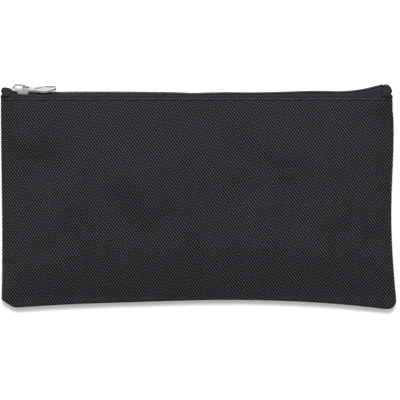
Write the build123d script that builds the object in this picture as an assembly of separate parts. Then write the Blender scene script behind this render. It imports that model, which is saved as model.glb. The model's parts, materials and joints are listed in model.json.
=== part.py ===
from build123d import *
import math
import os

# Cash deposit bag: a flat zippered fabric pouch that lies on its back panel.
# X runs along the zipper, Y points from the bottom seam to the zipper, Z points up
# out of the front panel. The origin is under the middle of the bag, on the surface
# that the bag lies on. Everything is in millimetres.

os.makedirs("parts", exist_ok=True)

# ---- driving dimensions -----------------------------------------------------------

# The two panels fill a rectangle between the side seams, the bottom seam and the hems.
PANEL_LEFT = -136.5
PANEL_RIGHT = 134.5
PANEL_BOTTOM = -71.0
PANEL_TOP = 70.4
CLOTH = 1.2                 # panel cloth with its lining

SEAM_TOP = 7.0              # the seams stand clear of the table, as on a stuffed pouch
SEAM_UNDERSIDE = 3.0
FRONT_HEM_TOP = 11.8        # outer face of the front panel at the zipper
BACK_HEM_UNDERSIDE = 0.5    # outer face of the back panel at the zipper
CROWN = 8.0                 # rise of the front panel's middle above its edges
SAG = 0.4                   # how far the back panel's middle would hang below the table
HEM_POWER = 5               # how late the edges spread apart on the way to the zipper
SIDE_POWER = 8              # how flat the middle is between the side seams
FRONT_POWER = 4             # how flat the front is between the bottom seam and the zipper
BACK_POWER = 6              # the same on the back, which the table flattens

# Zipper chain, a number 5 coil: two coils side by side on the edges of two tapes.
CHAIN_Y = 73.8
CHAIN_Z = 6.1
CHAIN_ROLL = 6.0            # degrees that the chain's outside leans towards the front
COIL_REACH = 3.0            # from the middle of the chain to a coil's outer edge
COIL_GAP = 0.15             # from the middle of the chain to a coil's inner edge
COIL_TOP = 1.05
COIL_UNDERSIDE = -0.55
TAPE = 0.55                 # tape thickness
TAPE_LEVEL = -0.875         # middle of the tape, under the coils
TAPE_BEND = 4.1             # where the tape turns from the chain down to the hem
TAPE_EDGE_Y = 62.0          # the tape's outer edge, inside the bag
FRONT_TAPE_EDGE_Z = 10.0
BACK_TAPE_EDGE_Z = 3.0
CHAIN_TURN_X = 109.0        # the chain is straight up to here, then climbs to the right tab
CHAIN_END_X = 127.7
CHAIN_CLIMB = 3.8

# Slider, in its own frame: travel direction, across the chain, outward.
SLIDER_X = -127.0           # closed position
SLIDER_LIFT = 0.2           # how far the chain's end has climbed at the middle of the slider
SLIDER_TILT = -6.0          # degrees that its right end dips
SLIDER_ROLL = 15.0          # degrees that its outside leans towards the front
SLIDER_LENGTH = 12.4
SLIDER_WIDTH = 7.8
WING = 1.0                  # thickness of each wing
CHANNEL = 3.5               # gap between the wings
FLANGE = 0.65               # thickness of the side flanges
FLANGE_END = -0.1           # how far the outer wing's flanges reach in
FLANGE_START = -1.4         # the flanges run from here to the slider's rear end
NOSE_HALF_WIDTH = 2.2       # the wings narrow to this at the end that leads on closing
NOSE_LENGTH = 1.4
CORNER_RADIUS = 0.9
POST_FRONT = -5.4
POST_REAR = -1.8
POST_WIDTH = 3.0
CROWN_WIDTH = 2.2
CROWN_TOP = 6.25
CROWN_BAR = 1.15            # thickness of the crown over its window
CROWN_FEET = (-5.9, 5.5)    # outer ends of the crown's legs along the slider
CROWN_SHOULDERS = (-4.0, 3.5)
WINDOW_FEET = (-3.9, 3.3)
WINDOW_SHOULDERS = (-3.2, 2.8)
CROWN_FALL = 0.1            # how much lower the crown is over its rear leg

# Pull tab, which hangs on the crown by a round bar.
PIVOT_ALONG = 1.7           # pivot place in the slider's frame
PIVOT_OUT = 4.1
PULL_ROLL = 12.0            # degrees that the loose pull leans further than the slider
PULL_RISE = 4.5             # degrees between the pull and the slider's outer wing
PULL_LENGTH = 25.0          # from the pivot to the tip
PULL_THICKNESS = 1.4
PULL_BAR_RADIUS = 0.6       # the round bar under the crown
EYE_HALF_WIDTH = 2.9
EYE_END = 5.4
EYE_HOLE_HALF_WIDTH = 1.75
EYE_HOLE_END = 4.5
NECK_PLACE = 8.2
NECK_RADIUS = 2.2
BELLY_PLACE = 16.5
BELLY_RADIUS = 4.75
TIP_RADIUS = 3.4
RIM = 1.1                   # width of the raised rim round the pull's recess
RECESS = 0.4

TAB_UNDERSIDE = 2.0
TAB_TOP = 10.0
THREAD = 0.5                # width of the sewing thread's line
THREAD_RISE = 0.35


# ---- cloth surfaces -----------------------------------------------------------------

def across(x):
    """Place between the side seams, from -1 to 1."""
    middle = (PANEL_LEFT + PANEL_RIGHT) / 2
    return (x - middle) / (PANEL_RIGHT - middle)


def along(y):
    """Place between the bottom seam and the hem, from -1 to 1."""
    middle = (PANEL_BOTTOM + PANEL_TOP) / 2
    return (y - middle) / (PANEL_TOP - middle)


def hem_lift(y):
    """How far the edges have spread from the seam's height to the hem's, from 0 to 1."""
    return ((1 + along(y)) / 2) ** HEM_POWER


def swell(x, y, power):
    """1 in the middle of a panel and 0 at its four edges."""
    return (1 - abs(across(x)) ** SIDE_POWER) * (1 - abs(along(y)) ** power)


def front_height(x, y):
    """Height of the front panel's outer face."""
    edge = SEAM_TOP + (FRONT_HEM_TOP - SEAM_TOP) * hem_lift(y)
    return edge + CROWN * swell(x, y, FRONT_POWER)


def back_height(x, y):
    """Height of the back panel's outer face, before the table flattens it."""
    edge = SEAM_UNDERSIDE + (BACK_HEM_UNDERSIDE - SEAM_UNDERSIDE) * hem_lift(y)
    return edge - (edge + SAG) * swell(x, y, BACK_POWER)


def panel(height, inward):
    """A sheet of cloth between a panel's outer face and the face one thickness inward."""
    stations = 16
    heights = 12
    sections = []
    for station in range(stations + 1):
        turn = math.pi * (station / stations - 0.5)
        x = (PANEL_LEFT + PANEL_RIGHT) / 2 + (PANEL_RIGHT - PANEL_LEFT) / 2 * math.sin(turn)
        outer = []
        for step in range(heights + 1):
            rise = math.sin(math.pi * (step / heights - 0.5))
            y = (PANEL_BOTTOM + PANEL_TOP) / 2 + (PANEL_TOP - PANEL_BOTTOM) / 2 * rise
            outer.append(Vector(x, y, height(x, y)))
        inner = [point + Vector(0, 0, inward) for point in outer]
        outer_edge = Edge.make_spline(outer)
        inner_edge = Edge.make_spline(inner)
        top_edge = Edge.make_line(outer[-1], inner[-1])
        bottom_edge = Edge.make_line(inner[0], outer[0])
        sections.append(Wire([outer_edge, top_edge, inner_edge, bottom_edge]))
    return Solid.make_loft(sections)


def make_front_panel():
    return panel(front_height, -CLOTH)


def make_back_panel():
    cloth = panel(back_height, CLOTH)
    table = Pos(0, 0, -SAG) * Box(400, 300, 2 * SAG)
    return cloth - table


# ---- seams --------------------------------------------------------------------------

LEFT_CORNER = (-140.5, -73.4)
RIGHT_CORNER = (141.1, -73.4)
LEFT_EDGE_X = -140.8        # the side seams' outer faces at the zipper
RIGHT_EDGE_X = 138.2


def seam_profile():
    """Side view of the turned seam: as thick as the gap between the panels' outer faces."""
    steps = 8
    levels = [PANEL_BOTTOM + (PANEL_TOP - PANEL_BOTTOM) * step / steps for step in range(steps + 1)]
    upper = [(y, front_height(PANEL_RIGHT, y)) for y in levels]
    lower = [(y, back_height(PANEL_RIGHT, y)) for y in levels]
    with BuildSketch(Plane.YZ) as profile:
        with BuildLine():
            Spline(*upper)
            Line(upper[-1], lower[-1])
            Spline(*lower)
            Line(lower[0], upper[0])
        make_face()
    return extrude(profile.sketch, amount=160, both=True)


def side_seam(inner_x, outer_points):
    """A side seam: its inner face is straight and its outer face follows the pouch's edge."""
    low = (inner_x, PANEL_BOTTOM)
    high = (inner_x, PANEL_TOP)
    with BuildSketch() as outline:
        with BuildLine():
            Line(low, high)
            Line(high, outer_points[0])
            Spline(*outer_points)
            Line(outer_points[-1], low)
        make_face()
    return extrude(outline.sketch, amount=30) & seam_profile()


def make_side_seam_left():
    return side_seam(
        PANEL_LEFT,
        [(LEFT_EDGE_X, PANEL_TOP), (-140.8, 40), (-140.1, -20), (LEFT_CORNER[0], PANEL_BOTTOM)],
    )


def make_side_seam_right():
    return side_seam(
        PANEL_RIGHT,
        [
            (RIGHT_EDGE_X, PANEL_TOP),
            (139.1, 56),
            (137.7, -5),
            (138.8, -45),
            (RIGHT_CORNER[0], PANEL_BOTTOM),
        ],
    )


def make_bottom_seam():
    """The bottom seam bows in at its middle, because the full corners pull it down."""
    left_foot = (-131.5, -79.3)
    right_foot = (135.1, -80.4)
    with BuildSketch(Plane.XY.offset(SEAM_UNDERSIDE)) as outline:
        with BuildLine():
            Polyline(
                (RIGHT_CORNER[0], PANEL_BOTTOM),
                (LEFT_CORNER[0], PANEL_BOTTOM),
                LEFT_CORNER,
                left_foot,
            )
            Spline(left_foot, (-100, -77.2), (-40, -75), (15, -73.6), (72, -74.8), (115, -78), right_foot)
            ThreePointArc(right_foot, (139.8, -78.3), RIGHT_CORNER)
            Line(RIGHT_CORNER, (RIGHT_CORNER[0], PANEL_BOTTOM))
        make_face()
    return extrude(outline.sketch, amount=SEAM_TOP - SEAM_UNDERSIDE)


BINDING_WIDTH = 7.5
BINDING_UNDERSIDE = 4.4
BINDING_THICKNESS = 1.2
BINDING_CLEARANCE = 0.15
BINDING_FOOT = -62.0
BINDING_HEAD = 56.0


def block(x_low, x_high, y_low, y_high, z_low, z_high):
    """A box from its two corners."""
    middle = Pos((x_low + x_high) / 2, (y_low + y_high) / 2, (z_low + z_high) / 2)
    return middle * Box(x_high - x_low, y_high - y_low, z_high - z_low)


def side_binding(x_low):
    """Tape folded over a side seam's raw edges, inside the pouch."""
    top = BINDING_UNDERSIDE + BINDING_THICKNESS
    return block(x_low, x_low + BINDING_WIDTH, BINDING_FOOT, BINDING_HEAD, BINDING_UNDERSIDE, top)


def make_binding_left():
    return side_binding(PANEL_LEFT + BINDING_CLEARANCE)


def make_binding_right():
    return side_binding(PANEL_RIGHT - BINDING_CLEARANCE - BINDING_WIDTH)


def make_binding_bottom():
    foot = PANEL_BOTTOM + BINDING_CLEARANCE
    left = PANEL_LEFT + BINDING_CLEARANCE
    right = PANEL_RIGHT - BINDING_CLEARANCE
    top = BINDING_UNDERSIDE + BINDING_THICKNESS
    return block(left, right, foot, foot + BINDING_WIDTH, BINDING_UNDERSIDE, top)


# ---- zipper chain ---------------------------------------------------------------------

def chain_point(across_chain, outward):
    """(Y, Z) of a point of the chain's cross-section. across_chain is positive to the front."""
    roll = math.radians(CHAIN_ROLL)
    y = CHAIN_Y - across_chain * math.sin(roll) + outward * math.cos(roll)
    z = CHAIN_Z + across_chain * math.cos(roll) + outward * math.sin(roll)
    return y, z


def run_along_chain(section, start_x):
    """Carries a cross-section along the straight chain and up to the right tab."""
    straight = Pos(start_x, 0, 0) * extrude(section, amount=CHAIN_TURN_X - start_x)
    climb = Vector(CHAIN_END_X - CHAIN_TURN_X, CHAIN_CLIMB, 0)
    climbing = Pos(CHAIN_TURN_X, 0, 0) * extrude(section, amount=climb.length, dir=climb)
    return straight + climbing


def slider_frame():
    """Plane with X along the slider's travel, Y towards the back panel and Z outward."""
    tilt = math.radians(SLIDER_TILT)
    roll = math.radians(SLIDER_ROLL)
    travel = Vector(math.cos(tilt), math.sin(tilt), 0)
    level = Vector(-math.sin(tilt), math.cos(tilt), 0)
    outward = level * math.cos(roll) + Vector(0, 0, 1) * math.sin(roll)
    return Plane(origin=(SLIDER_X, CHAIN_Y + SLIDER_LIFT, CHAIN_Z), x_dir=travel, z_dir=outward)


STUB_START = -1.6           # behind the post
STUB_END = SLIDER_LENGTH / 2 + 0.8
CHAIN_START_X = SLIDER_X + SLIDER_LENGTH / 2 + 0.3


def coil(side):
    """One coil, as a plain bar. side is 1 for the front coil and -1 for the back one."""
    corners = [
        chain_point(side * COIL_GAP, COIL_UNDERSIDE),
        chain_point(side * COIL_REACH, COIL_UNDERSIDE),
        chain_point(side * COIL_REACH, COIL_TOP),
        chain_point(side * COIL_GAP, COIL_TOP),
    ]
    section = Plane.YZ * make_face(Polyline(*corners, close=True))
    inside_slider = block(
        STUB_START,
        STUB_END,
        -COIL_REACH if side > 0 else COIL_GAP,
        -COIL_GAP if side > 0 else COIL_REACH,
        COIL_UNDERSIDE,
        COIL_TOP,
    )
    return run_along_chain(section, CHAIN_START_X) + slider_frame() * inside_slider


def tape(side, edge_z):
    """One tape: flat under its coil, then bent down and run under its panel's hem."""
    bend = chain_point(side * TAPE_BEND, TAPE_LEVEL)
    line = Polyline(chain_point(side * 2 * COIL_GAP, TAPE_LEVEL), bend, (TAPE_EDGE_Y, edge_z))
    section = Plane.YZ * trace(line, TAPE)
    strip_top = 70.0
    left_end = PANEL_LEFT + BINDING_WIDTH
    strip_z = edge_z - TAPE / 2
    beside_slider = block(left_end, CHAIN_START_X + 2, TAPE_EDGE_Y, strip_top, strip_z, strip_z + TAPE)
    reach = SLIDER_WIDTH / 2 + 0.3
    in_slot = block(
        STUB_START,
        STUB_END,
        -reach if side > 0 else 2 * COIL_GAP,
        -2 * COIL_GAP if side > 0 else reach,
        TAPE_LEVEL - TAPE / 2,
        TAPE_LEVEL + TAPE / 2,
    )
    return run_along_chain(section, CHAIN_START_X) + beside_slider + slider_frame() * in_slot


# ---- slider and pull --------------------------------------------------------------------

def make_slider_body():
    """Two wings joined by a post, with flanges along the rear half and a crown for the pull."""
    half = SLIDER_LENGTH / 2
    half_width = SLIDER_WIDTH / 2
    half_channel = CHANNEL / 2
    outline = make_face(
        Polyline(
            (-half, -NOSE_HALF_WIDTH),
            (-half + NOSE_LENGTH, -half_width),
            (half, -half_width),
            (half, half_width),
            (-half + NOSE_LENGTH, half_width),
            (-half, NOSE_HALF_WIDTH),
            close=True,
        )
    )
    outline = fillet(outline.vertices(), CORNER_RADIUS)
    outer_wing = extrude(Pos(0, 0, half_channel) * outline, amount=WING)
    inner_wing = extrude(Pos(0, 0, -half_channel - WING) * outline, amount=WING)
    lips = extrude(Pos(0, 0, FLANGE_END) * outline, amount=half_channel - FLANGE_END)
    lips -= Box(2 * SLIDER_LENGTH, SLIDER_WIDTH - 2 * FLANGE, 4 * CHANNEL)
    lips &= Pos(FLANGE_START + half, 0, 0) * Box(SLIDER_LENGTH, SLIDER_WIDTH, 4 * CHANNEL)
    middle = (POST_FRONT + POST_REAR) / 2
    diamond = make_face(
        Polyline(
            (POST_FRONT, 0),
            (middle, -POST_WIDTH / 2),
            (POST_REAR, 0),
            (middle, POST_WIDTH / 2),
            close=True,
        )
    )
    post = extrude(Pos(0, 0, -half_channel) * diamond, amount=CHANNEL)
    body = outer_wing + inner_wing + lips + post + crown_bridge()
    return slider_frame() * body


def crown_bridge():
    """A long low arch on the outer wing."""
    outer = side_outline(CROWN_FEET, CROWN_SHOULDERS, CHANNEL / 2 + WING / 2, CROWN_TOP, 1.1)
    window = side_outline(WINDOW_FEET, WINDOW_SHOULDERS, CHANNEL / 2 + WING, CROWN_TOP - CROWN_BAR, 0.5)
    return extrude(Plane.XZ * (outer - window), amount=CROWN_WIDTH / 2, both=True)


def side_outline(feet, shoulders, foot_level, shoulder_level, radius):
    """Four-sided side view of the crown or of its window, with its two upper corners rounded."""
    face = make_face(
        Polyline(
            (feet[0], foot_level),
            (shoulders[0], shoulder_level),
            (shoulders[1], shoulder_level - CROWN_FALL),
            (feet[1], foot_level),
            close=True,
        )
    )
    return fillet(face.vertices().sort_by(Axis.Y)[-2:], radius)


def pull_frame():
    """Plane with its origin on the pivot, X towards the pull's tip and Z outward."""
    place = Plane(slider_frame().location * Pos(PIVOT_ALONG, 0, PIVOT_OUT))
    return Plane(place.location * Rot(PULL_ROLL, 0, 0) * Rot(0, -PULL_RISE, 0))


def make_pull_tab():
    """A die-cast tab: an eye round the crown's leg, a neck and a rounded paddle."""
    neck = Pos(NECK_PLACE, 0) * Circle(NECK_RADIUS)
    belly = Pos(BELLY_PLACE, 0) * Circle(BELLY_RADIUS)
    tip = Pos(PULL_LENGTH - TIP_RADIUS, 0) * Circle(TIP_RADIUS)
    paddle = make_hull((neck + belly + tip).edges())
    eye = Pos(EYE_END / 2, 0) * Rectangle(EYE_END, 2 * EYE_HALF_WIDTH)
    shoulder = make_hull((Pos(EYE_END, 0) * Circle(EYE_HALF_WIDTH) + neck).edges())
    hole = Pos(EYE_HOLE_END / 2, 0) * Rectangle(EYE_HOLE_END, 2 * EYE_HOLE_HALF_WIDTH)
    plate = extrude(paddle + eye + shoulder - hole, amount=PULL_THICKNESS / 2, both=True)
    recess_neck = Pos(NECK_PLACE + 1.6, 0) * Circle(NECK_RADIUS - RIM)
    recess_belly = Pos(BELLY_PLACE, 0) * Circle(BELLY_RADIUS - RIM)
    recess_tip = Pos(PULL_LENGTH - TIP_RADIUS, 0) * Circle(TIP_RADIUS - RIM)
    recess = make_hull((recess_neck + recess_belly + recess_tip).edges())
    floor = PULL_THICKNESS / 2 - RECESS
    plate -= extrude(Pos(0, 0, floor) * recess, amount=RECESS)
    plate -= extrude(Pos(0, 0, -floor) * recess, amount=-RECESS)
    bar = Rot(90, 0, 0) * Cylinder(PULL_BAR_RADIUS, 2 * EYE_HALF_WIDTH)
    return pull_frame() * (plate + bar)


# ---- end tabs and sewing --------------------------------------------------------------------

TAB_GAP = 0.8               # between a side seam's end and the tab above it
LEFT_TAB_END = -133.6
RIGHT_TAB_START = 128.0
LEFT_TAB_PEAK = 77.7
RIGHT_TAB_PEAK = 80.4


def end_tab(x_low, x_high, peak, corner):
    """Cloth folded over the end of the zipper."""
    tab = block(x_low, x_high, PANEL_TOP + TAB_GAP, peak, TAB_UNDERSIDE, TAB_TOP)
    return fillet(tab.edges().filter_by(Axis.Z), corner)


def make_zipper_tab_left():
    return end_tab(LEFT_EDGE_X, LEFT_TAB_END, LEFT_TAB_PEAK, 2.0)


def make_zipper_tab_right():
    return end_tab(RIGHT_TAB_START, RIGHT_EDGE_X, RIGHT_TAB_PEAK, 3.0)


def tab_stitching(x, peak):
    """A line of thread across an end tab."""
    left = x - THREAD / 2
    return block(left, left + THREAD, PANEL_TOP + 1.6, peak - 1.2, TAB_TOP, TAB_TOP + THREAD_RISE)


def make_tab_stitching_left():
    return tab_stitching(LEFT_TAB_END - 1.6, LEFT_TAB_PEAK)


def make_tab_stitching_right():
    return tab_stitching(RIGHT_TAB_START + 1.8, RIGHT_TAB_PEAK - 1.0)


STITCH_Y = 68.4
STITCH_CLEARANCE = 0.12


def hem_stitching(height, outward):
    """A line of thread just below a hem. outward is 1 above the front and -1 below the back."""
    steps = 12
    start = PANEL_LEFT + 3
    length = PANEL_RIGHT - 3 - start
    near = []
    for step in range(steps + 1):
        x = start + length * step / steps
        near.append((x, height(x, STITCH_Y) + outward * STITCH_CLEARANCE))
    far = [(x, z + outward * THREAD_RISE) for x, z in near]
    outline = Spline(*near) + Line(near[-1], far[-1]) + Spline(*far) + Line(far[0], near[0])
    section = Plane.XZ * make_face(outline)
    return Pos(0, STITCH_Y, 0) * extrude(section, amount=THREAD / 2, both=True)


def make_hem_stitching_front():
    return hem_stitching(front_height, 1)


def make_hem_stitching_back():
    return hem_stitching(back_height, -1)


# ---- write every sub-part ---------------------------------------------------------------------

PARTS = {
    "front_panel": make_front_panel,
    "back_panel": make_back_panel,
    "side_seam_left": make_side_seam_left,
    "side_seam_right": make_side_seam_right,
    "bottom_seam": make_bottom_seam,
    "seam_binding_left": make_binding_left,
    "seam_binding_right": make_binding_right,
    "seam_binding_bottom": make_binding_bottom,
    "zipper_tape_front": lambda: tape(1, FRONT_TAPE_EDGE_Z),
    "zipper_tape_back": lambda: tape(-1, BACK_TAPE_EDGE_Z),
    "zipper_coil_front": lambda: coil(1),
    "zipper_coil_back": lambda: coil(-1),
    "slider_body": make_slider_body,
    "pull_tab": make_pull_tab,
    "zipper_tab_left": make_zipper_tab_left,
    "zipper_tab_right": make_zipper_tab_right,
    "tab_stitching_left": make_tab_stitching_left,
    "tab_stitching_right": make_tab_stitching_right,
    "hem_stitching_front": make_hem_stitching_front,
    "hem_stitching_back": make_hem_stitching_back,
}

for name, make in PARTS.items():
    shape = make()
    shape.label = name
    export_step(shape, f"parts/{name}.step")
    print(name, len(shape.solids()), round(shape.volume, 1))

pivot = pull_frame().origin
swing_axis = slider_frame().y_dir
print("pull pivot", [round(value, 3) for value in pivot])
print("pull swing axis", [round(value, 5) for value in swing_axis])
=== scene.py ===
import json
import math
import bmesh
import bpy
import numpy as np
from mathutils import Matrix, Vector, noise


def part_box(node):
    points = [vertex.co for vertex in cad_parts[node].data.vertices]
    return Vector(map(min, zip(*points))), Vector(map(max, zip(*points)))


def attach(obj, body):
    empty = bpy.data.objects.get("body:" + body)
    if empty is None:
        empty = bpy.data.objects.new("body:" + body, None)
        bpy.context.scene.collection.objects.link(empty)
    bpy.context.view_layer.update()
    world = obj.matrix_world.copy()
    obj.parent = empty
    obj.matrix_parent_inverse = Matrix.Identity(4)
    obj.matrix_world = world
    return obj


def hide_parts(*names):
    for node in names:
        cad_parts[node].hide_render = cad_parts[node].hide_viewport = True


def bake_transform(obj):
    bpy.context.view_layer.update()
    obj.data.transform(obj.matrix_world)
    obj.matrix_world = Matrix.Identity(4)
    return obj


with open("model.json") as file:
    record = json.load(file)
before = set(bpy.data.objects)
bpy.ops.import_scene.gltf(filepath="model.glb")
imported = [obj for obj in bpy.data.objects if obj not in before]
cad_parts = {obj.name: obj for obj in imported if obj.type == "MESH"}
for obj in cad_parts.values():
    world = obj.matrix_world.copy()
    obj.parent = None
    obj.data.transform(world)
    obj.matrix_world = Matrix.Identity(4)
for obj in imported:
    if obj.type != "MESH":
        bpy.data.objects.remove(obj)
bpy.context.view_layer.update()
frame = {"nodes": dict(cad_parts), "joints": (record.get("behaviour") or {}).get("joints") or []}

# Shapes are worked out in millimetres, in the CAD frame, and written to meshes in metres.
MM = 0.001
UV_MM = 100.0               # millimetres of cloth to one unit of a UV map
TINY = 1e-9                 # keeps a division from being by zero


# ---- reading the frame ----

def box_mm(node):
    low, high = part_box(node)
    return np.array(low) / MM, np.array(high) / MM


def vertices_mm(node):
    mesh = frame["nodes"][node].data
    flat = np.zeros(len(mesh.vertices) * 3)
    mesh.vertices.foreach_get("co", flat)
    return flat.reshape(-1, 3) / MM


def joint(name):
    return next(entry for entry in frame["joints"] if entry["name"] == name)


front_low, front_high = box_mm("front_panel")
seam_low, seam_high = box_mm("bottom_seam")
side_low, side_high = box_mm("side_seam_left")
slider_low, slider_high = box_mm("slider_body")

SEAM_Z = (seam_low[2] + seam_high[2]) / 2       # the level at which front and back are sewn
ROLL = (seam_high[2] - seam_low[2]) / 2         # radius of the cloth as it turns over the seam
HEM_Y = front_high[1]
FRONT_HEM_Z = side_high[2]
BACK_HEM_Z = side_low[2]
PANEL_FOOT_Y = front_low[1]
PANEL_LEFT_X = front_low[0]
PANEL_RIGHT_X = front_high[0]

PARTING = 2.5               # the zipper parts this far ahead of the slider's middle
slider_open_x = (slider_low[0] + slider_high[0]) / 2 + joint("slider_travel")["range_m"][1] / MM
MOUTH_LEFT_X = side_low[0]                      # the open mouth is joined here ...
MOUTH_RIGHT_X = slider_open_x - PARTING         # ... and here, inside the slider
MOUTH_MID_X = (MOUTH_LEFT_X + MOUTH_RIGHT_X) / 2


# ---- meshes ----

def make_piece(name, points, faces, materials, uv=None, face_materials=None, normals=None):
    """A smooth mesh object from points in millimetres. uv has one row for each point."""
    mesh = bpy.data.meshes.new(name)
    mesh.from_pydata((np.asarray(points) * MM).tolist(), [], faces)
    for material in materials:
        mesh.materials.append(material)
    if face_materials is not None:
        mesh.polygons.foreach_set("material_index", face_materials)
    if uv is not None:
        layer = mesh.uv_layers.new(name="cloth")
        corners = np.zeros(len(mesh.loops), int)
        mesh.loops.foreach_get("vertex_index", corners)
        layer.data.foreach_set("uv", (np.asarray(uv)[corners] / UV_MM).ravel())
    mesh.polygons.foreach_set("use_smooth", [True] * len(mesh.polygons))
    mesh.update()
    if normals is not None:
        mesh.normals_split_custom_set_from_vertices(normals.tolist())
    piece = bpy.data.objects.new(name, mesh)
    bpy.context.scene.collection.objects.link(piece)
    return piece


def grid_faces(rows, columns, first=0, flip=False):
    """Quads of a grid whose points are numbered row by row."""
    faces = []
    for row in range(rows - 1):
        for column in range(columns - 1):
            a = first + row * columns + column
            quad = [a, a + 1, a + columns + 1, a + columns]
            faces.append(quad[::-1] if flip else quad)
    return faces


def ring_faces(stations, around, first=0, flip=False):
    """Quads of a tube whose rings of points are numbered station by station, and its two caps."""
    faces = []
    for station in range(stations - 1):
        for step in range(around):
            a = first + station * around + step
            b = first + station * around + (step + 1) % around
            faces.append([a, b, b + around, a + around])
    faces.append([first + step for step in range(around)][::-1])
    faces.append([first + (stations - 1) * around + step for step in range(around)])
    return [face[::-1] for face in faces] if flip else faces


def grid_normals(points):
    """Unit normals of a grid of points, by its rows and columns."""
    along_rows = np.gradient(points, axis=1)
    along_columns = np.gradient(points, axis=0)
    normals = np.cross(along_rows, along_columns)
    return normals / np.maximum(np.linalg.norm(normals, axis=2, keepdims=True), TINY)


ALMOST_PARALLEL = 0.2       # a cross product this short gives no sure direction


def tube_rings(line, radius, around):
    """Rings of points round a line of points."""
    line = np.asarray(line, float)
    tangents = np.gradient(line, axis=0)
    tangents /= np.linalg.norm(tangents, axis=1, keepdims=True)
    reference = np.array([0.0, 1.0, 0.0])
    sides = np.cross(tangents, reference)
    weak = np.linalg.norm(sides, axis=1) < ALMOST_PARALLEL
    sides[weak] = np.cross(tangents[weak], [0.0, 0.0, 1.0])
    sides /= np.linalg.norm(sides, axis=1, keepdims=True)
    ups = np.cross(sides, tangents)
    turns = np.linspace(0, 2 * math.pi, around, endpoint=False)
    spokes = np.cos(turns)[:, None] * sides[:, None] + np.sin(turns)[:, None] * ups[:, None]
    return (line[:, None] + radius * spokes).reshape(-1, 3)


def tubes(lines, radius, around):
    """Points and faces of a tube along each line."""
    points, faces = [], []
    for line in lines:
        first = sum(len(p) for p in points)
        points.append(tube_rings(line, radius, around))
        faces += ring_faces(len(line), around, first)
    return np.concatenate(points), faces


SEED_STEP = 7.31            # distance in the noise between one seed's plane and the next


def waver(x, y, size, seed):
    """Smooth repeatable noise from about -1 to 1, with bumps about size millimetres apart."""
    return noise.noise(Vector((x / size, y / size, seed * SEED_STEP)))


def waver_grid(x, y, size, seed):
    """The same noise at every point of a grid."""
    flat = [waver(a, b, size, seed) for a, b in zip(x.ravel(), y.ravel())]
    return np.array(flat).reshape(x.shape)


# ---- materials ----

class Shader:
    """A new node material, with short ways to add and join its nodes."""

    def __init__(self, name):
        self.material = bpy.data.materials.new(name)
        self.material.use_nodes = True
        self.tree = self.material.node_tree
        self.surface = self.tree.nodes["Principled BSDF"]

    def add(self, kind, inputs=None, **settings):
        node = self.tree.nodes.new(kind)
        for key, value in settings.items():
            setattr(node, key, value)
        for key, value in (inputs or {}).items():
            self.give(node.inputs[key], value)
        return node

    def give(self, socket, value):
        if isinstance(value, bpy.types.NodeSocket):
            self.tree.links.new(value, socket)
        else:
            socket.default_value = value

    def math(self, operation, first, second=0.0, third=0.0):
        node = self.add("ShaderNodeMath", operation=operation)
        for socket, value in zip(node.inputs, (first, second, third)):
            self.give(socket, value)
        return node.outputs[0]

    def mix(self, share, first, second):
        """A colour between two. A mix node's sockets for colours come after those for numbers."""
        node = self.add("ShaderNodeMix", data_type="RGBA")
        self.give(node.inputs[0], share)
        self.give(node.inputs[6], first)
        self.give(node.inputs[7], second)
        return node.outputs[2]

    def remap(self, value, low, high, to_low, to_high):
        node = self.add("ShaderNodeMapRange")
        for socket, given in zip(node.inputs, (value, low, high, to_low, to_high)):
            self.give(socket, given)
        return node.outputs[0]

    def noise(self, vector, scale, detail=2.0):
        node = self.add("ShaderNodeTexNoise", {"Vector": vector, "Scale": scale, "Detail": detail})
        return node.outputs["Fac"]

    def vary(self, value, low, high):
        """Noise, which lies mostly between 0.3 and 0.7, spread over the range from low to high."""
        return self.remap(value, 0.3, 0.7, low, high)

    def sine(self, value):
        """A sine with its zeros one unit apart."""
        return self.math("SINE", self.math("MULTIPLY", value, math.pi))

    def combine(self, x, y, z=0.0):
        return self.add("ShaderNodeCombineXYZ", {"X": x, "Y": y, "Z": z}).outputs[0]

    def set(self, name, value):
        """Gives one of the surface's inputs a value or a node's output."""
        self.give(self.surface.inputs[name], value)

    def bump(self, height, depth_mm):
        node = self.add("ShaderNodeBump", {"Height": height, "Distance": depth_mm * MM})
        self.set("Normal", node.outputs[0])

    def finished(self, colour, roughness, specular):
        """The material, with its surface's last inputs given."""
        self.set("Base Color", colour)
        self.set("Roughness", roughness)
        self.set("Specular IOR Level", specular)
        return self.material

    def cloth_mm(self):
        """The cloth's own two coordinates, in millimetres."""
        uv = self.add("ShaderNodeUVMap", uv_map="cloth").outputs[0]
        parts = self.add("ShaderNodeSeparateXYZ", {"Vector": uv})
        return tuple(self.math("MULTIPLY", part, UV_MM) for part in parts.outputs[:2])

    def object_mm(self):
        place = self.add("ShaderNodeTexCoord").outputs["Object"]
        return self.add(
            "ShaderNodeVectorMath", {0: place, 1: (1 / MM, 1 / MM, 1 / MM)}, operation="MULTIPLY"
        ).outputs[0]


def grey(level, tint=(1.0, 1.0, 1.0)):
    return (level * tint[0], level * tint[1], level * tint[2], 1.0)


INK = (0.97, 0.95, 1.12)    # bluish tint of the black cloth, nylon and thread

WARP_YARN = 1.05            # width of one yarn, in millimetres
WEFT_YARN = 1.5
# Painted light in the weave's colours: a painted sheen on the warp's crossings and painted shade in the
# gaps between the yarns.
WARP_SHEEN_GREY = 0.057
WEFT_GREY = 0.006
GAP_SHADE_GREY = 0.0015
YARN_WANDER = 0.45          # how far a yarn strays from its line, in yarns
CREST_POWER = 0.85          # under 1 makes each crossing broad and its edges steep
WEFT_RELIEF = 0.7           # height of the weft's crossings beside the warp's
FIBRE_RELIEF = 0.15


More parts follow.
